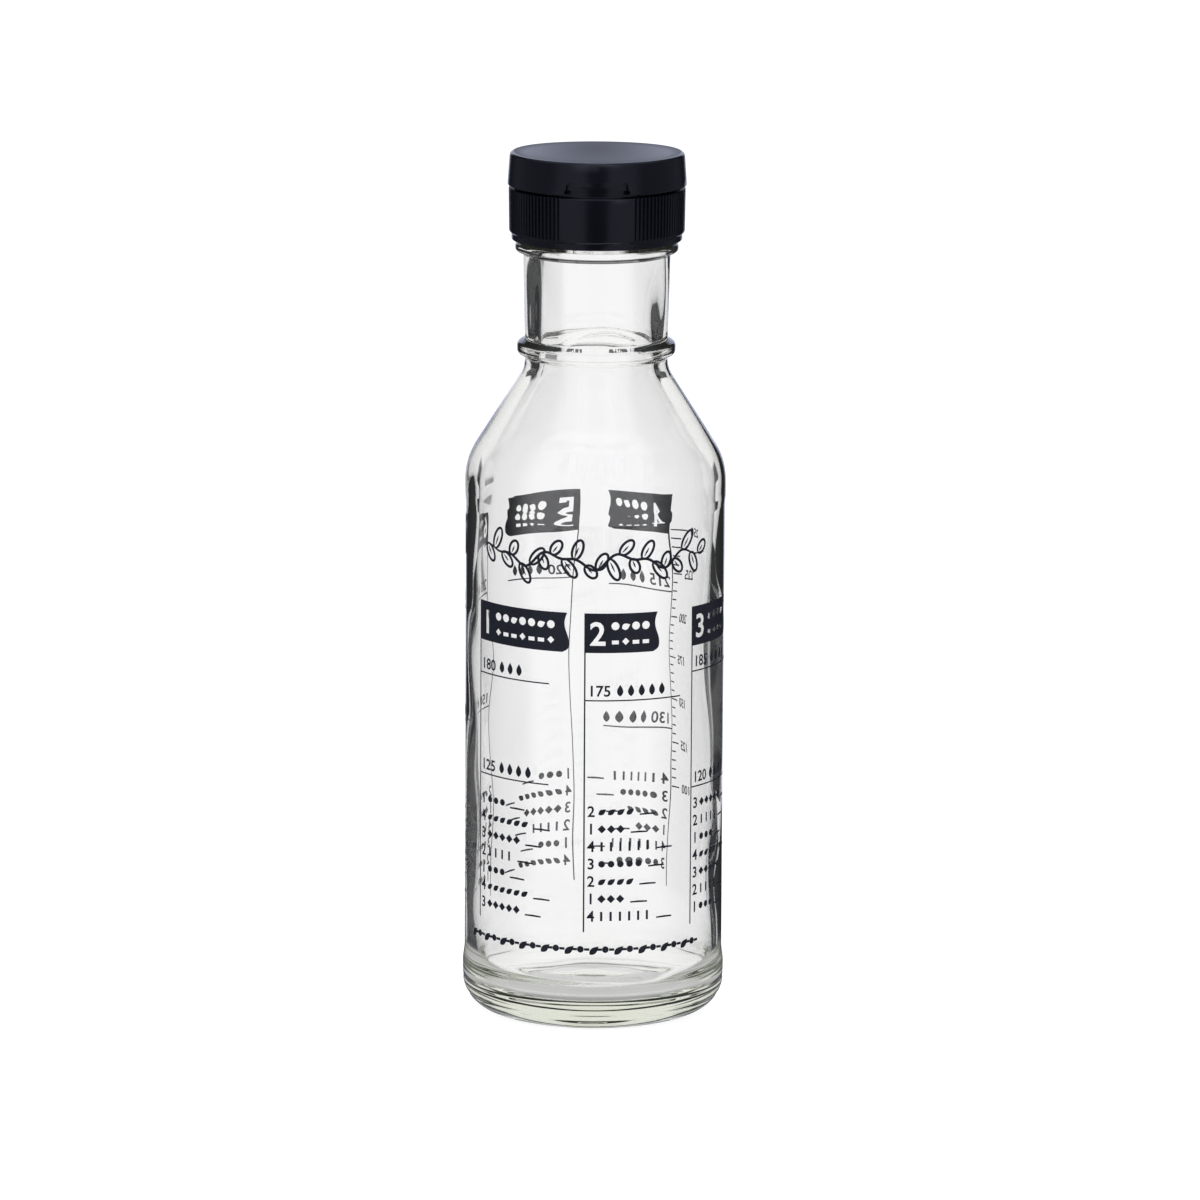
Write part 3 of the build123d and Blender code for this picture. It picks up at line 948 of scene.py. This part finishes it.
# The lid: the same black plastic, with a dished top, a thumb notch and the plug for the spout.
# Its rim is a little lower over the hinge, where the moulding has drawn in.
DISH_RADIUS = 0.0192
DISH_DEPTH = 0.0014
REAR_DIP = 0.0003
RIM_MARGIN = 0.0004
flip_lid = smooth_copy("flip_lid", "dished_flip_lid", plastic)
lid_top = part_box("flip_lid")[1][2]
for vertex in flip_lid.data.vertices:
    if vertex.co.y > 0 and lid_top - vertex.co.z < DISH_DEPTH + RIM_MARGIN:
        vertex.co.z -= REAR_DIP * (vertex.co.y / DISH_RADIUS) ** 2
flip_lid.data.update()
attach(flip_lid, "lid")

# The floor: pale and plain, and lit so that it looks white and keeps the shadow. The glass shows
# it with dark cards on it, which draw the dark lines at the edges of the bottle, and the gloss of
# the cap shows it as a dark room with a light field behind and two soft panels in front.
def ray_kind(light_path, name):
    """One output of a Light Path node."""
    return Flow(light_path.socket.node.outputs[name])


def glass_and_gloss(light_path):
    """Shares for rays straight through the glass, mirrored inside it, and off an outer skin."""
    bounced = ray_kind(light_path, "Glossy Depth").between(0.4, 0.6, smooth=False)
    entered = ray_kind(light_path, "Transmission Depth").between(0.4, 0.6, smooth=False)
    return entered * (1 - bounced), entered * bounced, bounced * (1 - entered)


def to_the_right(across, forth):
    """How many degrees a direction or a place on the floor lies to the right of straight back."""
    return across.math("ARCTAN2", forth) * (180 / math.pi)


def to_the_side(across, forth):
    """The same to either side."""
    return to_the_right(across.math("ABSOLUTE"), forth)


def band(flow, start, full, fading, end):
    """1 from full to fading, and 0 before start and after end."""
    return flow.between(start, full) * (1 - flow.between(fading, end))


def front_panels(side):
    """Two soft panels in front, with a dark gap for the camera between them."""
    return band(side, 118.0, 134.0, 162.0, 171.0)


def dark_flags(right):
    """Two dark flags far behind the bottle, which draw the dark bands of its neck and cone."""
    return band(right, -46.0, -42.0, -31.0, -28.0) + band(right, 38.0, 41.0, 50.0, 53.0)


DARKEST = 0.03
GLOSS_LIGHT = 1.06
GLOSS_COLOUR = (0.74, 0.79, 1.0, 1)
floor_paint, tree = new_material("pale_floor")
rays = Flow.make(tree, "ShaderNodeLightPath")
spot = Flow.make(tree, "ShaderNodeTexCoord", {}, {}, 3)
apart = spot.node("ShaderNodeSeparateXYZ", {}, {0: spot})
across, forth = apart, Flow(apart.socket.node.outputs["Y"])
right = to_the_right(across, forth)
side = to_the_side(across, forth)
away = (across * across + forth * forth).math("SQRT")
through, mirrored, glossy = glass_and_gloss(rays)

# One card lies on either side of a light lane that widens towards the back. A bay is cut from the
# right one. A narrow strip lies further back on the left, and under the base a painted shadow dims
# the floor.
right_half = across.between(-0.001, 0.001)
bay = band(forth, 0.13, 0.16, 0.2, 0.24) * right_half
lane = 0.036 + forth * (0.36 - 0.05 * right_half) + 0.06 * bay
off_lane = across.math("ABSOLUTE") - lane
card = off_lane.between(-0.004, 0.004) * band(forth, -0.03, -0.02, 0.41, 0.45)
off_strip = (right + 14).math("ABSOLUTE")
strip = (1 - off_strip.between(1.0, 2.4)) * band(forth, 0.42, 0.47, 0.9, 1.0)
# Painted shadow: the floor under the base is dimmer for the rays that reach it through the glass.
shadow_under_base = 1 - away.between(0.018, 0.022)
shaded = (1 - 0.65 * strip) * (1 - 0.35 * shadow_under_base)
flag = dark_flags(right) * away.between(1.4, 2.2)
through_level = (1 - card * (1 - side.between(31, 35))) * (1 - flag) * shaded

# Rays mirrored inside the glass find a lane behind, a light front, and close by a floor painted
# grey as painted shade near the bottle.
front = side.between(95, 125)
near = 1 - away.between(0.04, 0.08)
room = (side + 9 * away.between(1.2, 1.8)).between(37, 42)
mirrored_level = ((1 - room) * (1 - card) + front) * (1 - near) + 0.6 * near
level = through * through_level
level = level + mirrored * (DARKEST + (1 - DARKEST) * mirrored_level * shaded)

field = 0.9 * (1 - side.between(15, 22))
glossy_level = field + 0.12 * side.between(30, 60) + 0.2 * front_panels(side)
glossy_level = 0.02 + glossy_level * (1 - side.between(162, 171))
diffuse = Flow.make(tree, "ShaderNodeBsdfDiffuse", {}, {"Color": (0.3, 0.3, 0.3, 1)})
glow = Flow.make(tree, "ShaderNodeEmission", {}, {"Color": (1, 1, 1, 1), "Strength": 0.86})
lit = Flow.make(tree, "ShaderNodeAddShader", {}, {0: diffuse, 1: glow})
in_glass = Flow.make(
    tree, "ShaderNodeEmission", {}, {"Color": (0.99, 0.985, 1.0, 1), "Strength": level}
)
in_gloss = Flow.make(
    tree, "ShaderNodeEmission", {}, {"Color": GLOSS_COLOUR, "Strength": GLOSS_LIGHT * glossy_level}
)
shown = Flow.make(tree, "ShaderNodeMixShader", {}, {0: glossy, 1: in_glass, 2: in_gloss})
pale = Flow.make(tree, "ShaderNodeBsdfDiffuse", {}, {"Color": (0.8, 0.8, 0.8, 1)})
camera_side = Flow.make(
    tree, "ShaderNodeMixShader", {}, {0: ray_kind(rays, "Is Camera Ray"), 1: pale, 2: lit}
)
seen = ray_kind(rays, "Is Transmission Ray").math("MAXIMUM", ray_kind(rays, "Is Glossy Ray"))
surface(tree, Flow.make(tree, "ShaderNodeMixShader", {}, {0: seen, 1: camera_side, 2: shown}))
FLOOR_REACH = 8.0
floor_mesh = bpy.data.meshes.new("floor")
floor_mesh.from_pydata(
    [(x * FLOOR_REACH, y * FLOOR_REACH, 0) for x, y in ((-1, -1), (1, -1), (1, 1), (-1, 1))],
    [],
    [(0, 1, 2, 3)],
)
floor = bpy.data.objects.new("floor", floor_mesh)
scene.collection.objects.link(floor)
floor.data.materials.append(floor_paint)

# The room: white to the camera, and plain soft light for anything matt. The glass and the gloss
# of the cap see it as they see the floor, so that both meet at the horizon.
world = bpy.data.worlds.new("studio")
scene.world = world
world.use_nodes = True
tree = world.node_tree
tree.nodes.clear()
rays = Flow.make(tree, "ShaderNodeLightPath")
way = Flow.make(tree, "ShaderNodeTexCoord", {}, {}, 0)
apart = way.node("ShaderNodeSeparateXYZ", {}, {0: way})
across, forth, up = (Flow(apart.socket.node.outputs[name]) for name in ("X", "Y", "Z"))
side = to_the_side(across, forth)
through, mirrored, glossy = glass_and_gloss(rays)
plain = ray_kind(rays, "Is Diffuse Ray")
seen = 1 - plain - ray_kind(rays, "Is Camera Ray")
low = 1 - up.between(0.05, 0.1)
through_level = 1 - dark_flags(to_the_right(across, forth)) * low
room = side.between(28, 33) * low + side.between(40, 45) * (1 - low)
mirrored_level = DARKEST + (1 - DARKEST) * (1 - room + side.between(95, 125))
field = 0.3 + 0.7 * side.between(0.0, 3.2) + 0.4 * up.between(0.25, 0.6)
field = field * (1 - side.between(15, 22))
crest_light = 0.5 * side.between(140, 155) * up.between(0.03, 0.15)
overhead = 0.3 * up.between(0.55, 0.85)
sides = 0.12 * band(side, 30, 60, 162, 171)
glossy_level = 0.02 + field + sides + 0.2 * front_panels(side) + crest_light + overhead
level = ray_kind(rays, "Is Camera Ray") + 0.7 * plain
in_glass = through * through_level + mirrored * mirrored_level
level = level + seen * (in_glass + glossy * GLOSS_LIGHT * glossy_level)
tint = (seen * glossy).mixed((1, 1, 1, 1), GLOSS_COLOUR)
back = Flow.make(tree, "ShaderNodeBackground", {}, {"Color": tint, "Strength": level})
out = tree.nodes.new("ShaderNodeOutputWorld")
tree.links.new(back.socket, out.inputs["Surface"])

# The lamps: three softboxes that aim at the middle of the bottle. Neither the glass nor the gloss
# shows them, and they give the floor its soft shadow.
MIDDLE = Vector((0, 0, 0.1))
for name, place, size, power in (
    ("left_softbox", (-1.1, -1.3, 1.0), 0.9, 9.0),
    ("right_softbox", (1.1, -1.3, 1.0), 0.9, 9.0),
    ("top_softbox", (0.0, 0.2, 1.8), 1.2, 12.0),
):
    lamp = bpy.data.lights.new(name, "AREA")
    lamp.shape = "SQUARE"
    lamp.size = size
    lamp.energy = power
    holder = bpy.data.objects.new(name, lamp)
    holder.location = place
    holder.rotation_euler = (MIDDLE - Vector(place)).to_track_quat("-Z", "Y").to_euler()
    holder.visible_glossy = False
    holder.visible_transmission = False
    scene.collection.objects.link(holder)

scene.view_settings.view_transform = "Standard"
